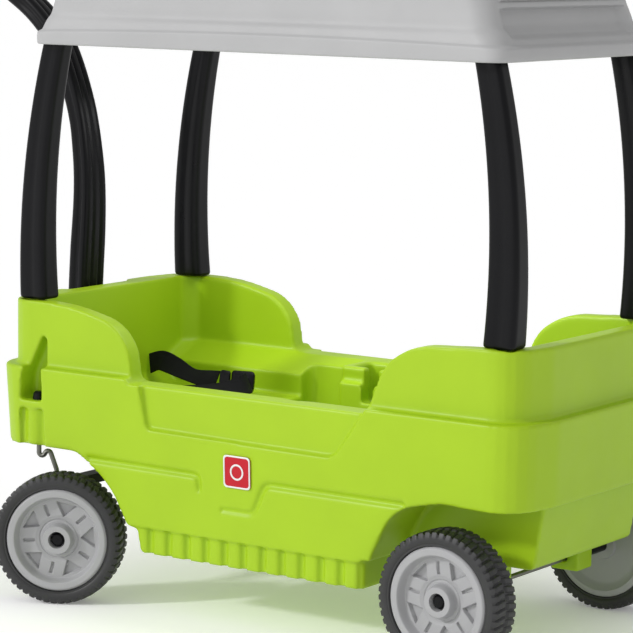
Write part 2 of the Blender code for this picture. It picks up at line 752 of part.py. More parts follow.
# ---------------------------------------------------------------- wheels
def wheel_rim(name):
    half = WHEEL_WIDTH / 2
    return turned(name, [
        (RIM_R - 0.0040, half), (RIM_R, half - 0.0030), (RIM_R, -half + 0.002), (RIM_R - 0.010, -half),
        (0.060, -half + 0.008), (0.022, -half + 0.010), (AXLE_BORE_R, -half + 0.006),
        (AXLE_BORE_R, 0.012), (0.0125, 0.012), (0.0125, 0.0275), (0.0230, 0.0275), (0.0250, 0.012),
        (0.069, 0.0110), (RIM_R - 0.0085, half - 0.004),
    ], WHEEL_STEPS)


def wheel_tyre(name):
    half = WHEEL_WIDTH / 2
    inner = RIM_R + GAP
    return turned(name, [
        (inner, half - 0.0010), (WHEEL_R - 0.0100, half), (WHEEL_R - 0.0020, half - 0.0060),
        (WHEEL_R, 0.0), (WHEEL_R - 0.0020, -half + 0.0060), (WHEEL_R - 0.0100, -half), (inner, -half + 0.0010),
    ], WHEEL_STEPS)


def axle_cap(name):
    return turned(name, [
        (0.0006, 0.0235), (CAP_R - 0.003, 0.0230), (CAP_R, 0.0200), (CAP_R, 0.0125),
        (AXLE_R + GAP, 0.0125), (AXLE_R + GAP, 0.0195), (0.0006, 0.0195),
    ], 16)


def wheel_set(label, parent, side, location):
    """Rim and tyre on one centre, with the push cap that keeps them on the axle."""
    outward = (math.radians(-90 * side), 0, 0)
    place(wheel_rim(f"wheel_rim_{label}"), parent, RIM_PLASTIC, location, outward)
    place(wheel_tyre(f"tyre_{label}"), parent, TYRE_PLASTIC, location, outward)
    place(axle_cap(f"axle_cap_{label}"), parent, BLACK_PLASTIC, location, outward)


def rear_axle():
    reach = REAR_WHEEL_Y + 0.0190
    axle = rod("rear_axle", AXLE_R, -reach, reach, axis="Y", sides=16)
    place(axle, FRAME, BRIGHT_STEEL, (REAR_WHEEL_X, 0, WHEEL_R))
    for side_name, side in SIDES:
        wheel_set(f"rear_{side_name}", FRAME, side, (REAR_WHEEL_X, side * REAR_WHEEL_Y, WHEEL_R))
        low, high = sorted((side * 0.1510, side * (REAR_WHEEL_Y - 0.0245)))
        sleeve = rod(f"rear_spacer_{side_name}", 0.0095, low, high, axis="Y", sides=20)
        bore = rod(f"rear_spacer_bore_{side_name}", AXLE_R + 0.0005, low - 0.01, high + 0.01,
                   (REAR_WHEEL_X, WHEEL_R), axis="Y", sides=16)
        place(sleeve, FRAME, BLACK_PLASTIC, (REAR_WHEEL_X, 0, WHEEL_R))
        combine(sleeve, bore, "DIFFERENCE", "bore")


# ---------------------------------------------------------------- front steering
def steering_knuckles():
    """Bent steel rods: kingpin, crank rearward, upright for the steering bar, leg down and axle outward."""
    for side_name, side in SIDES:
        pivot = empty(f"steer_{side_name}", (KINGPIN_X, side * KINGPIN_Y, 0), STEER_AT_REST, FRAME)
        path = bent_path([
            (0, 0, POCKET_Z + 0.0080), (0, 0, 0.2160), (-0.0165, 0, 0.2440), (-ARM, 0, 0.2060),
            (-ARM, 0, 0.1500), (-TRAIL, 0, WHEEL_R), (-TRAIL, side * (OUTBOARD + 0.0190), WHEEL_R),
        ], (0.0050, 0.0050, 0.0100, 0.0200, 0.0100), 5)
        knuckle = wire(f"knuckle_{side_name}", path, AXLE_R, 2)
        place(knuckle, pivot, BRIGHT_STEEL)
        wheel_set(f"front_{side_name}", pivot, side, (-TRAIL, side * OUTBOARD, WHEEL_R))
        cap = turned(f"kingpin_cap_{side_name}", [
            (0.0006, 0.0135), (0.0065, 0.0130), (0.0095, 0.0100), (0.0105, 0.0), (AXLE_R + GAP, 0.0),
            (AXLE_R + GAP, 0.0090), (0.0006, 0.0090),
        ], 20)
        place(cap, pivot, BLACK_PLASTIC, (0, 0, POCKET_Z + GAP))


def steering_bar():
    """T-shaped steel plate: a cross bar between both legs and a tongue with two ears for the handle."""
    back = ARM * math.cos(STEER_AT_REST)
    shift = -ARM * math.sin(STEER_AT_REST)
    holder = empty("steering_bar_frame", (KINGPIN_X - back, shift, 0), 0, FRAME)
    end = KINGPIN_Y + 0.013
    plate = extruded("steering_bar", [rounded([
        (0.013, end, 0.012), (-0.013, end, 0.012), (-0.013, -end, 0.012), (0.013, -end, 0.012),
    ], steps=3)], BAR_Z - 0.008, BAR_Z + 0.008)
    place(plate, holder, BLACK_PLASTIC)
    tongue = extruded("tongue", [rounded([
        (-0.010, BAR_Z - 0.006, 0), (0.018, BAR_Z - 0.006, 0.008), (0.056, TONGUE_LOW, 0.008),
        (HINGE_REACH + 0.010, TONGUE_LOW, 0), (HINGE_REACH + 0.010, TONGUE_HIGH, 0),
        (0.048, TONGUE_HIGH, 0.008), (0.010, BAR_Z + 0.006, 0.008), (-0.010, BAR_Z + 0.006, 0),
    ], steps=3)], -TONGUE_HALF, TONGUE_HALF, "XZ")
    combine(plate, tongue, "UNION", "tongue")
    slot = box("tongue_slot", (HINGE_REACH - HINGE_GAP, -EAR_INNER, TONGUE_LOW - 0.02),
               (HINGE_REACH + 0.03, EAR_INNER, TONGUE_HIGH + 0.02))
    combine(plate, slot, "DIFFERENCE", "tongue_slot")
    for tool in (tongue, slot):
        tool.parent = holder
    for side_name, side in SIDES:
        low, high = sorted((side * EAR_INNER, side * (TONGUE_HALF + 0.0005)))
        ear = extruded(f"ear_{side_name}", [rounded([
            (HINGE_REACH + 0.018, TONGUE_LOW - 0.001, 0.006), (HINGE_REACH + 0.018, HINGE_Z + 0.017, 0.014),
            (HINGE_REACH - 0.018, HINGE_Z + 0.017, 0.012), (HINGE_REACH - 0.042, TONGUE_LOW - 0.001, 0),
        ], steps=4)], low, high, "XZ")
        eye = rod(f"leg_eye_{side_name}", AXLE_R + 0.0007, BAR_Z - 0.03, BAR_Z + 0.03,
                  (0, side * KINGPIN_Y), sides=16)
        combine(plate, ear, "UNION", f"ear_{side_name}")
        combine(plate, eye, "DIFFERENCE", f"leg_eye_{side_name}")
        for tool in (ear, eye):
            tool.parent = holder
    hole = rod("hinge_hole", 0.0044, -0.06, 0.06, (HINGE_REACH, HINGE_Z), axis="Y", sides=16)
    combine(plate, hole, "DIFFERENCE", "hinge_hole")
    hole.parent = holder
    for side_name, side in SIDES:
        for label, height in (("upper", BAR_Z + 0.0083), ("lower", BAR_Z - 0.0083 - 0.0024)):
            clip = turned(f"leg_clip_{label}_{side_name}", [
                (AXLE_R + 0.0096 - 0.0006, 0.0024), (AXLE_R + 0.0090, 0.0), (AXLE_R + 0.0004, 0.0),
                (AXLE_R + 0.0004, 0.0024),
            ], 20)
            place(clip, holder, BLACK_PLASTIC, (0, side * KINGPIN_Y, height))
    return holder


# ---------------------------------------------------------------- pull handle
def handle_line():
    """Side view of the handle's middle line: upright, then swept forward to the grip."""
    return bent_points([
        (0.0000, HINGE_Z - 0.0190), (-0.0020, 0.330), (-0.0070, 0.485), (-0.0150, 0.633), (-0.0100, 0.720),
        (0.0060, 0.800), (0.0440, 0.892), (0.0960, 0.952), (0.1760, 1.004), (0.2090, 1.025),
    ], 3)


def handle_swell(height):
    """Thickness factor of the handle: fullest at knee height, slim at the hinge and above."""
    rise = min(max((height - 0.24) / 0.14, 0.0), 1.0)
    fall = min(max((0.76 - height) / 0.20, 0.0), 1.0)
    return 1 + HANDLE_SWELL * rise * fall


def bent_points(knots, steps):
    """Smooth line through its knots (Catmull-Rom), with steps pieces between two knots."""
    points = []
    last = len(knots) - 1
    for index in range(last):
        p0 = Vector(knots[max(index - 1, 0)])
        p1 = Vector(knots[index])
        p2 = Vector(knots[index + 1])
        p3 = Vector(knots[min(index + 2, last)])
        for step in range(steps):
            t = step / steps
            points.append(0.5 * (2 * p1 + (p2 - p0) * t + (2 * p0 - 5 * p1 + 4 * p2 - p3) * t * t
                                 + (3 * p1 - p0 - 3 * p2 + p3) * t * t * t))
    points.append(Vector(knots[last]))
    return points


def handle_bar(holder):
    line = handle_line()
    section = rounded([
        (HANDLE_WIDTH / 2, HANDLE_DEPTH / 2, 0.010), (-HANDLE_WIDTH / 2, HANDLE_DEPTH / 2, 0.010),
        (-HANDLE_WIDTH / 2, -HANDLE_DEPTH / 2, 0.010), (HANDLE_WIDTH / 2, -HANDLE_DEPTH / 2, 0.010),
    ], steps=3)
    rings = []
    for index, point in enumerate(line):
        before = line[max(index - 1, 0)]
        after = line[min(index + 1, len(line) - 1)]
        along = (after - before).normalized()
        across = Vector((along.y, -along.x))
        swell = handle_swell(point.y)
        rings.append([Vector((point.x + across.x * b * swell, a * swell, point.y + across.y * b * swell))
                      for a, b in section])
    bar = loft("handle_bar", rings)
    last = line[-1]
    along = (line[-1] - line[-2]).normalized()
    pitch = math.atan2(along.y, along.x)
    grip = extruded("grip_loop", [
        rounded([(0.098, 0.062, 0.030), (-0.004, 0.040, 0.022),
                 (-0.004, -0.040, 0.022), (0.098, -0.062, 0.030)], steps=6),
        rounded([(0.070, 0.041, 0.014), (0.020, 0.028, 0.012),
                 (0.020, -0.028, 0.012), (0.070, -0.041, 0.014)], steps=5),
    ], -0.0130, 0.0130)
    grip.data.transform(Matrix.Translation((last.x, 0, last.y)) @ Matrix.Rotation(-pitch, 4, "Y")
                        @ Matrix.Translation((-0.012, 0, 0)))
    combine(bar, grip, "UNION", "grip_loop")
    hole = rod("handle_pin_hole", 0.0044, -0.06, 0.06, (0, HINGE_Z), axis="Y", sides=16)
    combine(bar, hole, "DIFFERENCE", "pin_hole")
    pivot = empty("handle_pivot", (HINGE_REACH, 0, 0), 0, holder)
    place(bar, pivot, BLACK_PLASTIC)
    grip.parent = pivot
    hole.parent = pivot
    pin = turned("handle_pin", [
        (0.0006, 0.0400), (0.0055, 0.0400), (0.0075, 0.0385), (0.0075, 0.0355), (0.0040, 0.0355),
        (0.0040, -0.0410), (0.0006, -0.0410),
    ], 20)
    place(pin, holder, BRIGHT_STEEL, (HINGE_REACH, 0, HINGE_Z), (math.radians(-90), 0, 0))
    clip = turned("handle_pin_clip", [
        (0.0085, 0.0020), (0.0085, 0.0), (0.0043, 0.0), (0.0043, 0.0020),
    ], 20)
    place(clip, holder, BRIGHT_STEEL, (HINGE_REACH, -0.0376, HINGE_Z), (math.radians(-90), 0, 0))


# ---------------------------------------------------------------- lap belts
BELT_WIDTH = 0.036
BELT_THICK = 0.0026
BELT_MIDDLE = 0.126               # a seat's back to its belt's middle


def strap(name, knots, thick=BELT_THICK):
    """Flat strap on edge or lying flat: knots give (x, y, z, tilt) along its middle line."""
    places = bent_knots(knots, 5)
    rings = []
    for index, (point, tilt) in enumerate(places):
        before = places[max(index - 1, 0)][0]
        after = places[min(index + 1, len(places) - 1)][0]
        along = (after - before).normalized()
        flat = along.cross(Vector((0, 0, 1))).normalized()
        flat.rotate(Matrix.Rotation(tilt, 3, along))
        up = flat.cross(along)
        half = flat * (BELT_WIDTH / 2)
        skin = up * (thick / 2)
        rings.append([point + half + skin, point - half + skin, point - half - skin, point + half - skin])
    return loft(name, rings)


def bent_knots(knots, steps):
    """Smooth strap line with its tilt, through its knots."""
    points = []
    last = len(knots) - 1
    for index in range(last):
        p0 = Vector(knots[max(index - 1, 0)])
        p1 = Vector(knots[index])
        p2 = Vector(knots[index + 1])
        p3 = Vector(knots[min(index + 2, last)])
        for step in range(steps):
            t = step / steps
            mixed = 0.5 * (2 * p1 + (p2 - p0) * t + (2 * p0 - 5 * p1 + 4 * p2 - p3) * t * t
                           + (3 * p1 - p0 - 3 * p2 + p3) * t * t * t)
            points.append((mixed.xyz, mixed.w))
    end = Vector(knots[last])
    points.append((end.xyz, end.w))
    return points


def lap_belt(label, middle, facing):
    """Two straps and a buckle on a seat; facing is -1 for the front seat, which looks rearward."""
    def at(reach, y, z, tilt):
        return (middle + facing * reach, y, SEAT_Z + z, tilt)

    near = strap(f"belt_{label}_buckle_strap", [
        at(-0.1180, -0.0880, 0.0380, 1.35), at(-0.0920, -0.0860, 0.0460, 1.15),
        at(-0.0630, -0.0820, 0.0410, 0.8),
        at(-0.0190, -0.0740, 0.0300, 0.4), at(0.0430, -0.0700, 0.0260, 1.1),
    ])
    far = strap(f"belt_{label}_tongue_strap", [
        at(-0.1180, 0.0860, 0.0380, 1.3), at(-0.0800, 0.0820, 0.0330, 0.9), at(-0.0100, 0.0580, 0.0220, 0.3),
        at(0.0640, 0.0120, 0.0240, 0.2), at(0.1210, -0.0420, 0.0250, 0.3), at(0.1330, -0.0820, 0.0270, 0.7),
        at(0.1090, -0.1010, 0.0280, 1.0),
    ])
    for band_part in (near, far):
        place(band_part, FRAME, WEBBING)
    outline = rounded([(0.031, 0.0200, 0.007), (-0.031, 0.0175, 0.006), (-0.031, -0.0175, 0.006),
                       (0.031, -0.0200, 0.007)], steps=3)
    buckle = extruded(f"belt_{label}_buckle", [outline], -0.0065, 0.0065)
    place(buckle, FRAME, BLACK_PLASTIC, (middle + facing * 0.0755, -0.0850, SEAT_Z + 0.0260),
          (math.radians(65 * facing), 0, math.radians(-25 * facing)))


# ---------------------------------------------------------------- assembly
def build():
    body_shell()
    canopy_posts()
    canopy_roof()
    canopy_screws()
    badge()
    rear_axle()
    steering_knuckles()
    holder = steering_bar()
    handle_bar(holder)
    lap_belt("front", CAVITY_FRONT - BELT_MIDDLE, -1)
    lap_belt("rear", CAVITY_REAR + BELT_MIDDLE, 1)


build()
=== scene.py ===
import json
import math

import bmesh
import bpy
from mathutils import Matrix, Vector


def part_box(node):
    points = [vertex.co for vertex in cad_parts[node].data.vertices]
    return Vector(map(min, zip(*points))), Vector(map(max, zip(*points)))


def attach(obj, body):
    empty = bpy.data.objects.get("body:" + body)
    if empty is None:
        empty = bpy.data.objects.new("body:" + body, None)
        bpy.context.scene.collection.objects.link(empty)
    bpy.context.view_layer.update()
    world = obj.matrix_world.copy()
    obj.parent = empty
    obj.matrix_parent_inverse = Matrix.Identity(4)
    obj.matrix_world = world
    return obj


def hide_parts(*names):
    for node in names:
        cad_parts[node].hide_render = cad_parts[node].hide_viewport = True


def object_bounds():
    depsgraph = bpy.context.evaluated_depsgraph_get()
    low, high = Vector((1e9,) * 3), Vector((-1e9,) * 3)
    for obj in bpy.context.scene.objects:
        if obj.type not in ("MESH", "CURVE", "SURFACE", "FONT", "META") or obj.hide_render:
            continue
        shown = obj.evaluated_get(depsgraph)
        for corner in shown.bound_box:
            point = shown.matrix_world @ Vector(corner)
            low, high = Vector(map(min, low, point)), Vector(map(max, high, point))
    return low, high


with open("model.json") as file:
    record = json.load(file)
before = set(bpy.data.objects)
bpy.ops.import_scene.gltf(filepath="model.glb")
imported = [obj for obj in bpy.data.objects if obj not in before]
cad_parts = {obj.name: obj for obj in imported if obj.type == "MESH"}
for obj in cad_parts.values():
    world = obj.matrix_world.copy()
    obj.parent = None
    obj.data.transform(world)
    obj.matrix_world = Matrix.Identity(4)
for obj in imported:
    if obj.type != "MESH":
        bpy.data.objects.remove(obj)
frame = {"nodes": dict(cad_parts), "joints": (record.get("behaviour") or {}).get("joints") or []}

CAD_BOX = [list(corner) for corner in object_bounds()]
GROUND = CAD_BOX[0][2]
NODES = frame["nodes"]
JOINTS = {joint["name"]: joint for joint in frame["joints"]}
SIDES = (("left", 1), ("right", -1))
ENDS = (("front", 1), ("rear", -1))


def up(height):
    """Height above the ground, in the frame's own coordinates."""
    return height + GROUND


def smooth(low, high, value):
    """0 below low, 1 above high, and an eased step between them."""
    share = min(max((value - low) / (high - low), 0.0), 1.0)
    return share * share * (3 - 2 * share)


# ---------------------------------------------------------------- materials
def moulded(name, colour, roughness, grain=700.0, grain_depth=0.00006, wave_depth=0.0004,
            tint=0.05, metallic=0.0, specular=0.5):
    """Moulded plastic or plated steel: fine grain, slow surface waves, uneven colour and gloss."""
    material = bpy.data.materials.new(name)
    material.use_nodes = True
    tree = material.node_tree
    shader = tree.nodes["Principled BSDF"]
    shader.inputs["Metallic"].default_value = metallic
    shader.inputs["Specular IOR Level"].default_value = specular
    place = tree.nodes.new("ShaderNodeTexCoord")

    def noise(scale, detail):
        node = tree.nodes.new("ShaderNodeTexNoise")
        node.inputs["Scale"].default_value = scale
        node.inputs["Detail"].default_value = detail
        tree.links.new(place.outputs["Object"], node.inputs["Vector"])
        return node.outputs["Fac"]

    shade = tree.nodes.new("ShaderNodeValToRGB")
    darker = [part * (1 - tint) for part in colour]
    lighter = [min(part * (1 + tint), 1.0) for part in colour]
    shade.color_ramp.elements[0].position = 0.3
    shade.color_ramp.elements[1].position = 0.7
    shade.color_ramp.elements[0].color = (*darker, 1)
    shade.color_ramp.elements[1].color = (*lighter, 1)
    tree.links.new(noise(9.0, 4.0), shade.inputs["Fac"])
    tree.links.new(shade.outputs["Color"], shader.inputs["Base Color"])

    gloss = tree.nodes.new("ShaderNodeMapRange")
    gloss.inputs["To Min"].default_value = roughness - 0.07
    gloss.inputs["To Max"].default_value = roughness + 0.09
    tree.links.new(noise(34.0, 6.0), gloss.inputs["Value"])
    tree.links.new(gloss.outputs["Result"], shader.inputs["Roughness"])

    wave = tree.nodes.new("ShaderNodeBump")
    wave.inputs["Strength"].default_value = 0.6
    wave.inputs["Distance"].default_value = wave_depth
    tree.links.new(noise(11.0, 1.0), wave.inputs["Height"])
    fine = tree.nodes.new("ShaderNodeBump")
    fine.inputs["Strength"].default_value = 0.7
    fine.inputs["Distance"].default_value = grain_depth
    tree.links.new(noise(grain, 2.0), fine.inputs["Height"])
    tree.links.new(wave.outputs["Normal"], fine.inputs["Normal"])
    tree.links.new(fine.outputs["Normal"], shader.inputs["Normal"])
    return material


def webbing(name):
    """Woven nylon strap: diagonal yarns across the strap and a ribbed face."""
    material = bpy.data.materials.new(name)
    material.use_nodes = True
    tree = material.node_tree
    shader = tree.nodes["Principled BSDF"]
    shader.inputs["Roughness"].default_value = 0.72
    shader.inputs["Specular IOR Level"].default_value = 0.12
    place = tree.nodes.new("ShaderNodeTexCoord")
    heights = []
    for direction in ("DIAGONAL", "X"):
        yarn = tree.nodes.new("ShaderNodeTexWave")
        yarn.bands_direction = direction
        yarn.inputs["Scale"].default_value = 260.0
        yarn.inputs["Distortion"].default_value = 0.6
        tree.links.new(place.outputs["Object"], yarn.inputs["Vector"])
        heights.append(yarn.outputs["Fac"])
    weave = tree.nodes.new("ShaderNodeMath")
    weave.operation = "MULTIPLY"
    tree.links.new(heights[0], weave.inputs[0])
    tree.links.new(heights[1], weave.inputs[1])
    shade = tree.nodes.new("ShaderNodeValToRGB")
    shade.color_ramp.elements[0].color = (0.003, 0.003, 0.004, 1)
    shade.color_ramp.elements[1].color = (0.022, 0.022, 0.024, 1)
    tree.links.new(weave.outputs["Value"], shade.inputs["Fac"])
    tree.links.new(shade.outputs["Color"], shader.inputs["Base Color"])
    bump = tree.nodes.new("ShaderNodeBump")
    bump.inputs["Distance"].default_value = 0.0005
    tree.links.new(weave.outputs["Value"], bump.inputs["Height"])
    tree.links.new(bump.outputs["Normal"], shader.inputs["Normal"])
    return material


LIME = moulded("lime_moulding", (0.335, 0.520, 0.010), 0.40, tint=0.03, specular=0.30)
BLACK = moulded("black_moulding", (0.003, 0.003, 0.004), 0.30, grain=900.0, tint=0.15, specular=0.17)
CANOPY = moulded("canopy_moulding", (0.400, 0.400, 0.403), 0.50, tint=0.03, specular=0.3)
RIM = moulded("rim_moulding", (0.350, 0.350, 0.358), 0.44, tint=0.03, specular=0.35)
TYRE = moulded("tyre_moulding", (0.019, 0.019, 0.020), 0.48, grain=500.0, grain_depth=0.0001, tint=0.2)
STEEL = moulded("zinc_plating", (0.20, 0.20, 0.18), 0.36, grain=1200.0, tint=0.2, metallic=1.0)
RED = moulded("badge_enamel", (0.46, 0.006, 0.016), 0.30, wave_depth=0.0001, specular=0.3)
PALE = moulded("badge_rim", (0.70, 0.70, 0.70), 0.35, wave_depth=0.0001)
WEB = webbing("woven_nylon")


# ---------------------------------------------------------------- mesh helpers
def piece(name, bm, material, body, replaced=(), sharp=38):
    """Finish a mesh as a piece on a body, and hide the CAD nodes it stands for."""
    bmesh.ops.recalc_face_normals(bm, faces=bm.faces)
    mesh = bpy.data.meshes.new(name)
    bm.to_mesh(mesh)
    bm.free()
    return mesh_piece(name, mesh, material, body, replaced, sharp)


def mesh_piece(name, mesh, material, body, replaced=(), sharp=38):
    mesh.shade_smooth()
    mesh.set_sharp_from_angle(angle=math.radians(sharp))
    mesh.materials.clear()
    mesh.materials.append(material)
    obj = bpy.data.objects.new(name, mesh)
    bpy.context.scene.collection.objects.link(obj)
    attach(obj, body)
    if replaced:
        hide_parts(*replaced)
    return obj


def rounded(corners, steps=5):
    """Closed outline from corners (a, b, radius), with an arc at each corner that has a radius."""
    points = []
    count = len(corners)
    for index, (a, b, radius) in enumerate(corners):
        here = Vector((a, b))
        before = (Vector(corners[index - 1][:2]) - here).normalized()
        after = (Vector(corners[(index + 1) % count][:2]) - here).normalized()
        if radius <= 0:
            points.append(here)
            continue
        half = before.angle(after) / 2
        reach = radius / math.tan(half)
        centre = here + (before + after).normalized() * (radius / math.sin(half))
        first = here + before * reach - centre
        last = here + after * reach - centre
        sweep = first.angle_signed(last)
        for step in range(steps + 1):
            spoke = first.copy()
            spoke.rotate(Matrix.Rotation(-sweep * step / steps, 2))
            points.append(centre + spoke)
    return points


def oblong(half_a, half_b, radius):
    """Corners of a rectangle about the origin, as rounded() takes them."""
    return [(half_a, half_b, radius), (-half_a, half_b, radius),
            (-half_a, -half_b, radius), (half_a, -half_b, radius)]


def resampled(outline, count):
    """The same closed outline with evenly spaced points."""
    total = 0.0
    lengths = [0.0]
    closed = outline + [outline[0]]
    for one, two in zip(closed, closed[1:]):
        total += (two - one).length
        lengths.append(total)
    points = []
    leg = 0
    for index in range(count):
        goal = total * index / count
        while lengths[leg + 1] < goal:
            leg += 1
        share = (goal - lengths[leg]) / max(lengths[leg + 1] - lengths[leg], 1e-9)
        points.append(closed[leg].lerp(closed[leg + 1], share))
    return points


def loft(bm, rings, caps=True, closed=False):
    """Skin over rings with the same number of points; its ends are capped, or joined if closed."""
    rows = [[bm.verts.new(point) for point in ring] for ring in rings]
    pairs = list(zip(rows, rows[1:]))
    if closed:
        pairs.append((rows[-1], rows[0]))
    count = len(rows[0])
    for lower, upper in pairs:
        for index in range(count):
            follow = (index + 1) % count
            bm.faces.new((lower[index], lower[follow], upper[follow], upper[index]))
    if caps and not closed:
        bm.faces.new(list(reversed(rows[0])))
        bm.faces.new(rows[-1])
    return rows


def curve_through(knots, steps):
    """Catmull-Rom line through its knots, of any number of coordinates."""
    points = []
    last = len(knots) - 1
    for index in range(last):
        p0, p1, p2, p3 = (Vector(knots[min(max(index + shift, 0), last)]) for shift in (-1, 0, 1, 2))
        for step in range(steps):
            t = step / steps
            points.append(0.5 * (2 * p1 + (p2 - p0) * t + (2 * p0 - 5 * p1 + 4 * p2 - p3) * t * t
                                 + (3 * p1 - p0 - 3 * p2 + p3) * t * t * t))
    points.append(Vector(knots[last]))
    return points


# ---------------------------------------------------------------- body
BODY_VOXEL = 0.0034
BODY_SMOOTHING = 4


def body_skin():
    """The tub with every moulded edge softened, as a rotational moulding's are."""
    mesh = NODES["body_shell"].data.copy()
    bm = bmesh.new()
    bm.from_mesh(mesh)
    bmesh.ops.remove_doubles(bm, verts=bm.verts, dist=0.00001)
    bm.to_mesh(mesh)
    bm.free()
    holder = bpy.data.objects.new("tub_source", mesh)
    bpy.context.scene.collection.objects.link(holder)
    grid = holder.modifiers.new("grid", "REMESH")
    grid.mode = "VOXEL"
    grid.voxel_size = BODY_VOXEL
    soften = holder.modifiers.new("soften", "SMOOTH")
    soften.factor = 0.5
    soften.iterations = BODY_SMOOTHING
    depsgraph = bpy.context.evaluated_depsgraph_get()
    made = bpy.data.meshes.new_from_object(holder.evaluated_get(depsgraph))
    bpy.data.objects.remove(holder, do_unlink=True)
    mesh_piece("tub", made, LIME, "body", ("body_shell",), sharp=80)


# ---------------------------------------------------------------- canopy
CANOPY_LOW, CANOPY_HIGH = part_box("canopy_roof")
CANOPY_POINTS = 300
CANOPY_WALL = 0.004
CANOPY_REACH = 0.45                # half the length that the lip's arch spans
LIP_ARCH = 0.007
FRONT_DRAFT, REAR_DRAFT = 1.15, 2.0    # how much more the ends draw in than the sides, as in part.py
RECESS_DEPTH = 0.0115
CREASE_DEPTH, CREASE_LEVEL, CREASE_WIDTH = 0.0045, 0.0880, 0.0018
SOCKET_LOW, SOCKET_HIGH = 0.003, 0.020


def canopy_ring(inset, height, corner, skin):
    """One level of the roof: a rounded oblong, arched near its lip and recessed at both ends."""
    front = CANOPY_HIGH.x - inset * FRONT_DRAFT - skin
    rear = CANOPY_LOW.x + inset * REAR_DRAFT + skin
    half = CANOPY_HIGH.y - inset - skin
    outline = resampled(rounded([
        (front, half, corner), (rear, half, corner), (rear, -half, corner), (front, -half, corner),
    ], steps=8), CANOPY_POINTS)
    above = height - CANOPY_LOW.z
    near_lip = smooth(0.012, 0.020, above) * (1 - smooth(0.03, 0.05, above))
    band = smooth(0.030, 0.038, above) * (1 - smooth(0.074, 0.080, above))
    crease = math.exp(-((above - CREASE_LEVEL) / CREASE_WIDTH) ** 2)
    ring = []
    for a, b in outline:
        arch = LIP_ARCH * (1 - min(abs(a) / CANOPY_REACH, 1) ** 2) * near_lip
        point = Vector((a, b, height + arch))
        for end, edge in ((1, front), (-1, rear)):
            near_end = 1 - smooth(0.004, 0.016, abs(a - edge))
            middle = 1 - smooth(0.176, 0.190, abs(b))
            point.x -= end * near_end * middle * (RECESS_DEPTH * band + CREASE_DEPTH * crease)
        ring.append(point)
    return ring


def canopy_profile(skin):
    """Inset, height and corner radius of every level from the lip to the crown of the roof."""
    rise = CANOPY_HIGH.z - CANOPY_LOW.z
    knots = [
        (0.0015, 0.0, 0.030), (0.0000, 0.003, 0.030), (0.0000, 0.0165, 0.030), (0.0010, 0.0205, 0.030),
        (0.0045, 0.0240, 0.032), (0.0062, 0.0290, 0.033), (0.0098, 0.0400, 0.034), (0.0140, 0.050, 0.035),
        (0.0160, 0.0620, 0.036), (0.0180, 0.0740, 0.037), (0.0188, 0.0790, 0.038), (0.0196, 0.0840, 0.038),
        (0.0204, 0.0890, 0.039), (0.0212, 0.0940, 0.040), (0.0240, 0.112, 0.042), (0.0320, 0.1245, 0.045),
        (0.0530, rise - 0.006, 0.050), (0.0850, rise - 0.0015, 0.050), (0.1200, rise, 0.050),
    ]
    return [(inset, CANOPY_LOW.z + height - (skin if height > 0.02 else 0), corner)
            for inset, height, corner in curve_through(knots, 4)]


def canopy_skin():
    """The roof as a thin shell, open below, with a block over each post's head."""
    bm = bmesh.new()
    outside = [canopy_ring(*level, 0.0) for level in canopy_profile(0.0)]
    inside = [canopy_ring(*level, CANOPY_WALL) for level in canopy_profile(CANOPY_WALL)]
    loft(bm, list(reversed(inside)) + outside)
    piece("canopy_shell", bm, CANOPY, "body", ("canopy_roof",), sharp=50)
    bm = bmesh.new()
    low, high = CANOPY_LOW.z + SOCKET_LOW, CANOPY_LOW.z + SOCKET_HIGH
    for _, end in ENDS:
        for _, side in SIDES:
            edge = CANOPY_HIGH.x if end > 0 else -CANOPY_LOW.x
            inner, outer = edge - 0.085, edge - 0.006
            block = resampled(rounded([(inner, 0.1775, 0.006), (inner, 0.237, 0.004), (outer, 0.237, 0.028),
                                       (outer, 0.1775, 0.004)], steps=6), 80)
            middle = sum(block, Vector((0, 0))) / len(block)
            rings = []
            for height, shrink in ((low, 0.94), (low + 0.0012, 0.985), (low + 0.003, 1.0),
                                   (high - 0.003, 1.0), (high - 0.001, 0.985), (high, 0.95)):
                rings.append([Vector((end * (middle.x + (p.x - middle.x) * shrink),
                                      side * (middle.y + (p.y - middle.y) * shrink), height)) for p in block])
            loft(bm, rings)
    piece("canopy_sockets", bm, CANOPY, "body")


# ---------------------------------------------------------------- posts
BODY_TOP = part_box("body_shell")[1].z
POST_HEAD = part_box("post_front_left")[1].z
POST_LEVELS = 46
POST_FOOT_X = {1: 0.475, -1: -0.4266}      # by end: 1 is the front, -1 the rear
POST_DRAW_IN = {1: 0.034, -1: 0.0313}
POST_FOOT_Y, POST_LEAN = 0.2065, 0.0045
FOOT_HALF_X, FOOT_HALF_Y = 0.0280, 0.0220
TAPER_X, TAPER_Y = 0.0060, 0.0048
POST_BOW = 0.0170
POST_CORNER = 0.010
FLUTE_DEPTH = 0.0016


def post_ring(end, side, height, grow):
    """A post's outline at one height: it bows outwards, tapers upwards and is fluted on two faces."""
    span = (height - BODY_TOP) / (CANOPY_LOW.z - BODY_TOP)
    bow = 4 * POST_BOW * (span + 0.02) * (0.98 - span)
    middle_x = POST_FOOT_X[end] - end * POST_DRAW_IN[end] * span + end * bow
    middle_y = POST_FOOT_Y - POST_LEAN * span
    half_x = FOOT_HALF_X - TAPER_X * span + grow
    half_y = FOOT_HALF_Y - TAPER_Y * span + grow
    outline = resampled(rounded(oblong(half_x, half_y, POST_CORNER), steps=6), 72)
    ring = []
    for a, b in outline:
        flute = FLUTE_DEPTH * math.exp(-(a / (half_x * 0.28)) ** 2) * smooth(0.6, 0.95, abs(b) / half_y)
        ring.append(Vector((middle_x + a, side * (middle_y + b * (1 - flute / half_y)), height)))
    return ring


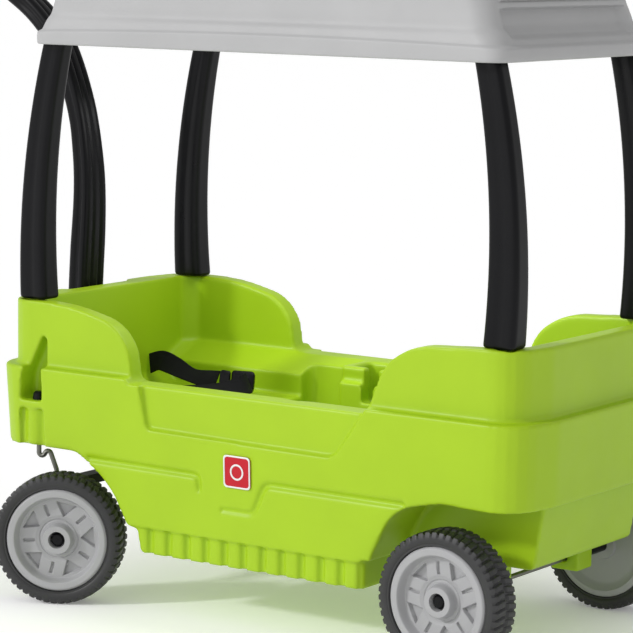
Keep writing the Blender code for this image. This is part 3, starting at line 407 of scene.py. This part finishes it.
def posts():
    """Four posts, each with a small rounding at its foot."""
    for end_name, end in ENDS:
        for side_name, side in SIDES:
            foot = BODY_TOP + 0.0003
            levels = [(foot, -0.0030), (foot + 0.0012, -0.0012), (foot + 0.0035, -0.0002)]
            levels += [(foot + 0.006 + (POST_HEAD - foot - 0.006) * step / POST_LEVELS, 0.0)
                       for step in range(POST_LEVELS + 1)]
            bm = bmesh.new()
            loft(bm, [post_ring(end, side, height, grow) for height, grow in levels])
            name = f"post_{end_name}_{side_name}"
            piece(f"canopy_{name}", bm, BLACK, "body", (name,))


# ---------------------------------------------------------------- wheels
TYRE_LOW, TYRE_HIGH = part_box("tyre_rear_left")
RIM_LOW, RIM_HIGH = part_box("wheel_rim_rear_left")
TYRE_RADIUS = (TYRE_HIGH.z - TYRE_LOW.z) / 2
RIM_RADIUS = (RIM_HIGH.z - RIM_LOW.z) / 2
HALF_WIDTH = (TYRE_HIGH.y - TYRE_LOW.y) / 2
RIM_SPOKES = 240
FACE_STEPS = 84
FACE_LEVEL = 0.0125                # the rim's face, outwards from the wheel's middle plane
CAP_RECESS = 0.0114                # radius of the recess that the axle cap sits in
AXLE_BORE = 0.0046
HUB_RISE, LIP_RISE = 0.0150, 0.0150
POCKETS = 5
POCKET_END = 0.0600
POCKET_DEPTH, SLOT_DEPTH = 0.0072, 0.0045
FIRST_POCKET = {"front_left": 77, "front_right": 40, "rear_left": 62, "rear_right": 20}
LUGS = 52
LUG_DEPTH = 0.0031
TREAD_HEIGHTS = (0.0262, 0.0200, 0.0130, 0.0050, 0.0015, -0.0015, -0.0050, -0.0130, -0.0200, -0.0262)
MIDDLE_GROOVE = 0.002


def in_triangle(along, across):
    """How far inside the rounded triangle of a rim pocket a place lies; apex towards the hub."""
    slope = 0.017 / 0.0225
    sides = ((along - 0.0365) * slope - abs(across)) / math.hypot(1, slope)
    return min(sides, POCKET_END - along)


def rim_height(radius, angle, first):
    """Outward height of the rim's face at a place on it."""
    height = FACE_LEVEL
    height += HUB_RISE * smooth(0.0128, 0.0140, radius) * (1 - smooth(0.0228, 0.0268, radius))
    height -= 0.0016 * math.exp(-((radius - 0.0315) / 0.0012) ** 2)
    height += 0.0015 * smooth(0.034, 0.040, radius)
    height += LIP_RISE * smooth(0.0645, 0.0720, radius)
    height -= 0.0030 * smooth(0.0800, RIM_RADIUS, radius)
    for index in range(POCKETS):
        turn = angle - math.radians(first + 360 / POCKETS * index)
        along, across = radius * math.cos(turn), radius * math.sin(turn)
        if along > 0:
            height -= POCKET_DEPTH * smooth(0.0, 0.0016, in_triangle(along, across))
        turn -= math.radians(180 / POCKETS)
        along, across = radius * math.cos(turn), radius * math.sin(turn)
        if along > 0:
            inside = min(0.0028 - abs(across), along - 0.040, POCKET_END - along)
            height -= SLOT_DEPTH * smooth(0.0, 0.0012, inside)
    return height


def wheel_frame(label, side):
    """Matrix from a wheel's own axes, with local Z outwards, to the frame."""
    joint = JOINTS[f"spin_{label}"]
    outward = Vector(joint["axis"]).normalized()
    if outward.y * side < 0:
        outward = -outward
    top = Vector((0, 0, 1))
    ahead = top.cross(outward).normalized()
    turn = Matrix((ahead, outward.cross(ahead), outward)).transposed().to_4x4()
    return Matrix.Translation(Vector(joint["pos_m"])) @ turn


def constant(value):
    """A function that gives one value whatever it is asked."""
    return lambda *_: value


def spun(rows, steps):
    """Closed skin from rows of (radius, height) functions of the angle, joined end to start."""
    bm = bmesh.new()
    rings = []
    for radius_at, height_at in rows:
        ring = []
        for step in range(steps):
            angle = 2 * math.pi * step / steps
            radius = radius_at(angle)
            height = height_at(radius, angle)
            ring.append(Vector((radius * math.cos(angle), radius * math.sin(angle), height)))
        rings.append(ring)
    loft(bm, rings, closed=True)
    return bm


def wheel_rim(label, place):
    """Moulded rim: a face with pockets and slots, a lip, a hollow back and a bore for the axle."""
    def face_height(radius, angle):
        return rim_height(radius, angle, FIRST_POCKET[label])

    lip = RIM_RADIUS - 0.0008
    rows = [(constant(CAP_RECESS + (lip - CAP_RECESS) * step / FACE_STEPS), face_height)
            for step in range(FACE_STEPS + 1)]
    back = [(RIM_RADIUS, 0.0225), (RIM_RADIUS, -0.027), (RIM_RADIUS - 0.004, -HALF_WIDTH + 0.0005),
            (RIM_RADIUS - 0.010, -HALF_WIDTH), (0.066, -0.0215), (0.060, -0.0210), (0.024, -0.0200),
            (0.022, -0.0240), (AXLE_BORE, -0.0240), (AXLE_BORE, 0.0115), (0.0112, 0.0115)]
    rows += [(constant(radius), constant(height)) for radius, height in back]
    bm = spun(rows, RIM_SPOKES)
    bm.transform(place)
    piece(f"rim_{label}", bm, RIM, f"wheel_{label}", (f"wheel_rim_{label}",), sharp=45)


def wheel_tyre(label, place):
    """Tyre with two staggered rows of lugs and a groove between them."""
    def tread(height):
        """Radius of the tread at a height across it, in two staggered rows of lugs."""
        row = 0.5 if height > 0 else 0.0

        def radius_at(angle):
            phase = (angle * LUGS / (2 * math.pi) + row + abs(height) * 14) % 1
            gap = smooth(0.0, 0.10, phase) * (1 - smooth(0.66, 0.76, phase))
            crown = TYRE_RADIUS - 0.0022 * (abs(height) / HALF_WIDTH) ** 4
            return crown - LUG_DEPTH * (1 - gap)
        return radius_at

    inner = RIM_RADIUS + 0.0003
    wall = [(inner, 0.0270), (inner + 0.0012, 0.0288), (0.0885, 0.0285), (0.0900, 0.0296),
            (0.0945, HALF_WIDTH), (0.0990, 0.0297)]
    rows = [(constant(radius), constant(height)) for radius, height in wall]
    for height in TREAD_HEIGHTS:
        if abs(height) < MIDDLE_GROOVE:
            rows.append((constant(TYRE_RADIUS - LUG_DEPTH), constant(height)))
        else:
            rows.append((tread(height), constant(height)))
    rows += [(constant(radius), constant(-height)) for radius, height in reversed(wall)]
    bm = spun(rows, LUGS * 10)
    bm.transform(place)
    piece(f"tread_{label}", bm, TYRE, f"wheel_{label}", (f"tyre_{label}",), sharp=32)


def wheels():
    """A rim and a tyre on each wheel's own body."""
    for end_name, _ in ENDS:
        for side_name, side in SIDES:
            label = f"{end_name}_{side_name}"
            place = wheel_frame(label, side)
            wheel_rim(label, place)
            wheel_tyre(label, place)


# ---------------------------------------------------------------- pull handle
HINGE = Vector(JOINTS["handle_tilt"]["pos_m"])
HINGE_HEIGHT = HINGE.z - GROUND
HANDLE_HALF_WIDTH, HANDLE_HALF_DEPTH, HANDLE_CORNER = 0.025, 0.0165, 0.009
GRIP_HALF_WIDTH, GRIP_HALF_DEPTH = 0.0118, 0.0128


def handle_swell(height):
    """How many times thicker the handle is at a height above the ground than at its ends."""
    rise = min(max((height - 0.24) / 0.14, 0.0), 1.0)
    fall = min(max((0.76 - height) / 0.20, 0.0), 1.0)
    return 1 + 0.20 * rise * fall


def handle():
    """Blow-moulded bar with two long grooves down each face and a looped grip."""
    line = curve_through([
        (0.0000, HINGE_HEIGHT - 0.0190), (-0.0020, 0.330), (-0.0070, 0.485), (-0.0150, 0.633),
        (-0.0100, 0.720), (0.0060, 0.800), (0.0440, 0.892), (0.0960, 0.952), (0.1760, 1.004), (0.2090, 1.025),
    ], 9)
    section = resampled(rounded(oblong(HANDLE_HALF_WIDTH, HANDLE_HALF_DEPTH, HANDLE_CORNER), steps=6), 96)
    rings = []
    for index, point in enumerate(line):
        along = (line[min(index + 1, len(line) - 1)] - line[max(index - 1, 0)]).normalized()
        across = Vector((along.y, -along.x))
        swell = handle_swell(point.y)
        fade = smooth(0.26, 0.30, point.y) * (1 - smooth(0.955, 0.985, point.y))
        ring = []
        for a, b in section:
            groove = sum(math.exp(-((a - at) / 0.0026) ** 2) for at in (-0.0085, 0.0085))
            b *= 1 - 0.15 * groove * fade * smooth(0.7, 0.95, abs(b) / HANDLE_HALF_DEPTH)
            edge = math.exp(-(b / 0.004) ** 2) * fade * smooth(0.8, 0.97, abs(a) / HANDLE_HALF_WIDTH)
            a *= 1 - 0.10 * edge
            ring.append(Vector((HINGE.x + point.x + across.x * b * swell, HINGE.y + a * swell,
                                up(point.y) + across.y * b * swell)))
        rings.append(ring)
    bm = bmesh.new()
    loft(bm, rings)
    piece("pull_handle", bm, BLACK, "handle", ("handle_bar",))

    pitch = math.atan2((line[-1] - line[-2]).y, (line[-1] - line[-2]).x)
    place = (Matrix.Translation((HINGE.x + line[-1].x, HINGE.y, up(line[-1].y)))
             @ Matrix.Rotation(-pitch, 4, "Y") @ Matrix.Translation((-0.012, 0, 0)))
    path = resampled(rounded([(0.084, 0.0505, 0.022), (0.008, 0.0335, 0.017), (0.008, -0.0335, 0.017),
                              (0.084, -0.0505, 0.022)], steps=8), 120)
    rings = []
    for index, point in enumerate(path):
        along = (path[(index + 1) % len(path)] - path[index - 1]).normalized()
        out = Vector((along.y, -along.x))
        rib = 0.0005 * math.sin(index * 2 * math.pi / 5) * smooth(0.070, 0.080, point.x)
        rings.append([place @ Vector((point.x + out.x * (GRIP_HALF_WIDTH + rib) * math.cos(turn),
                                      point.y + out.y * (GRIP_HALF_WIDTH + rib) * math.cos(turn),
                                      (GRIP_HALF_DEPTH + rib) * math.sin(turn)))
                      for turn in (2 * math.pi * step / 24 for step in range(24))])
    bm = bmesh.new()
    loft(bm, rings, closed=True)
    piece("pull_grip", bm, BLACK, "handle")


# ---------------------------------------------------------------- lap belts
STRAP_WIDTH, STRAP_THICK = 0.036, 0.0026
SELVEDGE = [(0.485, 0.38), (0.45, 0.5), (0.41, 0.40)]
STRAP_SECTION = ([(0.5, 0.0)] + SELVEDGE + [(0.2, 0.46), (0.0, 0.5), (-0.2, 0.46)]
                 + [(-a, b) for a, b in reversed(SELVEDGE)] + [(-0.5, 0.0)]
                 + [(-a, -b) for a, b in SELVEDGE] + [(0.0, -0.5)]
                 + [(a, -b) for a, b in reversed(SELVEDGE)])
SEAT_HEIGHT = 0.305                # above the ground, as in part.py
SEAT_BACK = {"front": 0.486, "rear": -0.446}
BELT_REACH = 0.126                 # from a seat's back to the middle of its belt
BUCKLE_REACH, BUCKLE_SIDE, BUCKLE_LIFT = 0.0755, -0.0850, 0.0260
BUCKLE_TURN, BUCKLE_TILT = -25, 65


def strap(name, knots, node):
    """Flat woven strap with rounded selvedges; knots give (x, y, z, tilt) along its middle line."""
    line = curve_through(knots, 14)
    rings = []
    for index, knot in enumerate(line):
        point, tilt = knot.xyz, knot.w
        along = (line[min(index + 1, len(line) - 1)].xyz - line[max(index - 1, 0)].xyz).normalized()
        flat = along.cross(Vector((0, 0, 1))).normalized()
        flat.rotate(Matrix.Rotation(tilt, 3, along))
        lift = flat.cross(along)
        ring = []
        for a, b in STRAP_SECTION:
            ring.append(point + flat * (a * STRAP_WIDTH) + lift * (b * STRAP_THICK))
        rings.append(ring)
    bm = bmesh.new()
    loft(bm, rings)
    piece(name, bm, WEB, "body", (node,), sharp=70)


def buckle(label, middle, facing):
    """Side-release buckle: a housing with a raised window, and the tongue's end plate."""
    place = (Matrix.Translation((middle + facing * BUCKLE_REACH, BUCKLE_SIDE, up(SEAT_HEIGHT + BUCKLE_LIFT)))
             @ Matrix.Rotation(math.radians(BUCKLE_TURN * facing), 4, "Z")
             @ Matrix.Rotation(math.radians(BUCKLE_TILT * facing), 4, "X"))
    bm = bmesh.new()
    for (near, near_half, near_round), (far, far_half, far_round), half in (
        ((0.010, 0.0185, 0.005), (-0.030, 0.0172, 0.006), 0.0062),
        ((0.031, 0.0195, 0.005), (0.0125, 0.0170, 0.003), 0.0048),
        ((0.004, 0.0090, 0.004), (-0.022, 0.0080, 0.004), 0.0070),
    ):
        outline = resampled(rounded([
            (near, near_half, near_round), (far, far_half, far_round),
            (far, -far_half, far_round), (near, -near_half, near_round),
        ], steps=5), 60)
        centre = sum(outline, Vector((0, 0))) / len(outline)
        rings = []
        for height, inset in ((-half, 0.86), (-half + 0.0008, 0.95), (-half + 0.0022, 1.0),
                              (half - 0.0022, 1.0), (half - 0.0008, 0.95), (half, 0.86)):
            rings.append([place @ Vector((*(centre + (p - centre) * inset), height)) for p in outline])
        loft(bm, rings)
    piece(f"lap_buckle_{label}", bm, BLACK, "body", (f"belt_{label}_buckle",))


def lap_belts():
    """A two-part lap belt with its buckle on each seat; facing is the way the seat looks along X."""
    for label, facing in (("front", -1), ("rear", 1)):
        middle = SEAT_BACK[label] + facing * BELT_REACH

        def at(reach, y, z, tilt):
            return (middle + facing * reach, y, up(SEAT_HEIGHT + z), tilt)

        strap(f"lap_strap_{label}_near", [
            at(-0.1180, -0.0880, 0.0380, 1.35), at(-0.0920, -0.0860, 0.0460, 1.15),
            at(-0.0630, -0.0820, 0.0410, 0.8), at(-0.0190, -0.0740, 0.0300, 0.4),
            at(0.0430, -0.0700, 0.0260, 1.1),
        ], f"belt_{label}_buckle_strap")
        strap(f"lap_strap_{label}_far", [
            at(-0.1180, 0.0860, 0.0380, 1.3), at(-0.0800, 0.0820, 0.0330, 0.9),
            at(-0.0100, 0.0580, 0.0220, 0.3), at(0.0640, 0.0120, 0.0240, 0.2),
            at(0.0980, -0.0260, 0.0250, 0.4), at(0.1120, -0.0560, 0.0270, 0.9),
            at(0.1040, -0.0800, 0.0280, 1.2),
        ], f"belt_{label}_tongue_strap")
        buckle(label, middle, facing)


# ---------------------------------------------------------------- badges
BADGE_HALF, BADGE_CORNER = 0.026, 0.006
BADGE_LEAN = 2.3                   # degrees, as in part.py


def badges():
    """Generic red side plate with a pale raised border and a plain pale ring."""
    for side_name, side in SIDES:
        low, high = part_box(f"side_badge_{side_name}")
        place = (Matrix.Translation((low + high) / 2)
                 @ Matrix.Rotation(math.radians(90 - side * BADGE_LEAN), 4, "X"))
        outline = resampled(rounded(oblong(BADGE_HALF, BADGE_HALF, BADGE_CORNER), steps=6), 96)

        def level(scale, height, shape=outline):
            return [place @ Vector((p.x * scale, p.y * scale, -side * height)) for p in shape]

        bm = bmesh.new()
        loft(bm, [level(0.99, -0.0008), level(0.99, 0.0006), level(0.97, 0.0010), level(0.90, 0.0010)])
        piece(f"badge_field_{side_name}", bm, RED, "body", (f"side_badge_{side_name}",))
        bm = bmesh.new()
        loft(bm, [level(1.0, 0.0009), level(1.0, 0.0014), level(0.98, 0.0018), level(0.92, 0.0018),
                  level(0.90, 0.0014), level(0.90, 0.0009)], closed=True)
        circle = [Vector((math.cos(t), math.sin(t))) for t in (2 * math.pi * step / 64 for step in range(64))]
        loft(bm, [level(radius, height, circle) for radius, height in (
            (0.0130, 0.0009), (0.0130, 0.0014), (0.0122, 0.0017),
            (0.0108, 0.0017), (0.0100, 0.0014), (0.0100, 0.0009),
        )], closed=True)
        piece(f"badge_border_{side_name}", bm, PALE, "body")


# ---------------------------------------------------------------- carried-over CAD nodes
def dress_hardware():
    """Better materials on the CAD nodes whose own shape is kept."""
    dress = {"rear_axle": STEEL, "handle_pin": STEEL, "handle_pin_clip": STEEL, "steering_bar": BLACK}
    for side_name, _ in SIDES:
        dress[f"knuckle_{side_name}"] = STEEL
        dress[f"kingpin_cap_{side_name}"] = BLACK
        dress[f"rear_spacer_{side_name}"] = BLACK
        for level in ("upper", "lower"):
            dress[f"leg_clip_{level}_{side_name}"] = BLACK
        for end_name, _ in ENDS:
            dress[f"axle_cap_{end_name}_{side_name}"] = BLACK
            dress[f"canopy_screw_{end_name}_{side_name}"] = STEEL
    for name, material in dress.items():
        mesh = NODES[name].data
        mesh.materials.clear()
        mesh.materials.append(material)


# ---------------------------------------------------------------- stage
FLOOR_HALF = 150.0
PAPER_GLOW = 0.18
WORLD_STRENGTH = 0.60
SUNS = (("key", 1.35, 6, (0.50, 0.72, 0.50)), ("fill", 0.65, 70, (0.20, 0.90, 0.30)))
CABIN_LIGHT, CABIN_LIGHT_SIZE = 2.5, (0.60, 0.34)


def studio():
    """Pale floor, soft world, two suns, and a soft lamp under the roof for the shaded cabin."""
    scene = bpy.context.scene
    scene.view_settings.view_transform = "Standard"
    bm = bmesh.new()
    bmesh.ops.create_grid(bm, x_segments=2, y_segments=2, size=FLOOR_HALF)
    mesh = bpy.data.meshes.new("studio_floor")
    bm.to_mesh(mesh)
    bm.free()
    floor = bpy.data.objects.new("studio_floor", mesh)
    floor.location = (0, 0, GROUND)
    scene.collection.objects.link(floor)
    paper = bpy.data.materials.new("studio_paper")
    paper.use_nodes = True
    shader = paper.node_tree.nodes["Principled BSDF"]
    shader.inputs["Base Color"].default_value = (0.94, 0.94, 0.94, 1)
    shader.inputs["Roughness"].default_value = 0.9
    shader.inputs["Emission Color"].default_value = (1, 1, 1, 1)
    shader.inputs["Emission Strength"].default_value = PAPER_GLOW
    mesh.materials.append(paper)

    world = bpy.data.worlds.new("studio_world")
    world.use_nodes = True
    background = world.node_tree.nodes["Background"]
    background.inputs["Color"].default_value = (1, 1, 1, 1)
    background.inputs["Strength"].default_value = WORLD_STRENGTH
    scene.world = world

    for name, energy, spread, towards in SUNS:
        lamp = bpy.data.lights.new(name, "SUN")
        lamp.energy = energy
        lamp.angle = math.radians(spread)
        holder = bpy.data.objects.new(name, lamp)
        holder.rotation_mode = "QUATERNION"
        holder.rotation_quaternion = Vector(towards).to_track_quat("Z", "Y")
        scene.collection.objects.link(holder)

    soft = bpy.data.lights.new("cabin_fill", "AREA")
    soft.shape = "RECTANGLE"
    soft.size, soft.size_y = CABIN_LIGHT_SIZE
    soft.energy = CABIN_LIGHT
    holder = bpy.data.objects.new("cabin_fill", soft)
    holder.location = (0.02, 0, CANOPY_LOW.z - 0.01)
    holder.visible_camera = False
    scene.collection.objects.link(holder)


AZIMUTH, ELEVATION, ROLL = 214.02, 6.81, 0.749
SENSOR, LENS = 36, 158.63
SHIFT_X, SHIFT_Y = -0.0977, -0.0747
AIM_X, AIM_HEIGHT, DISTANCE = -0.0620, 0.5594, 4.495


def camera():
    """The photograph's viewpoint: azimuth 0 looks along +Y, and elevation is above the horizon."""
    azimuth, elevation, roll = math.radians(AZIMUTH), math.radians(ELEVATION), math.radians(ROLL)
    back = Vector((math.sin(azimuth) * math.cos(elevation), -math.cos(azimuth) * math.cos(elevation),
                   math.sin(elevation)))
    right = Vector((0, 0, 1)).cross(back).normalized()
    top = back.cross(right)
    tilted_right = right * math.cos(roll) + top * math.sin(roll)
    tilted_top = top * math.cos(roll) - right * math.sin(roll)
    data = bpy.data.cameras.new("camera")
    data.sensor_width = SENSOR
    data.lens = LENS
    data.shift_x = SHIFT_X
    data.shift_y = SHIFT_Y
    data.clip_end = 400
    holder = bpy.data.objects.new("camera", data)
    holder.matrix_world = (Matrix.Translation(Vector((AIM_X, 0, up(AIM_HEIGHT))) + back * DISTANCE)
                           @ Matrix((tilted_right, tilted_top, back)).transposed().to_4x4())
    bpy.context.scene.collection.objects.link(holder)
    bpy.context.scene.camera = holder


camera()
studio()
body_skin()
canopy_skin()
posts()
wheels()
handle()
lap_belts()
badges()
dress_hardware()
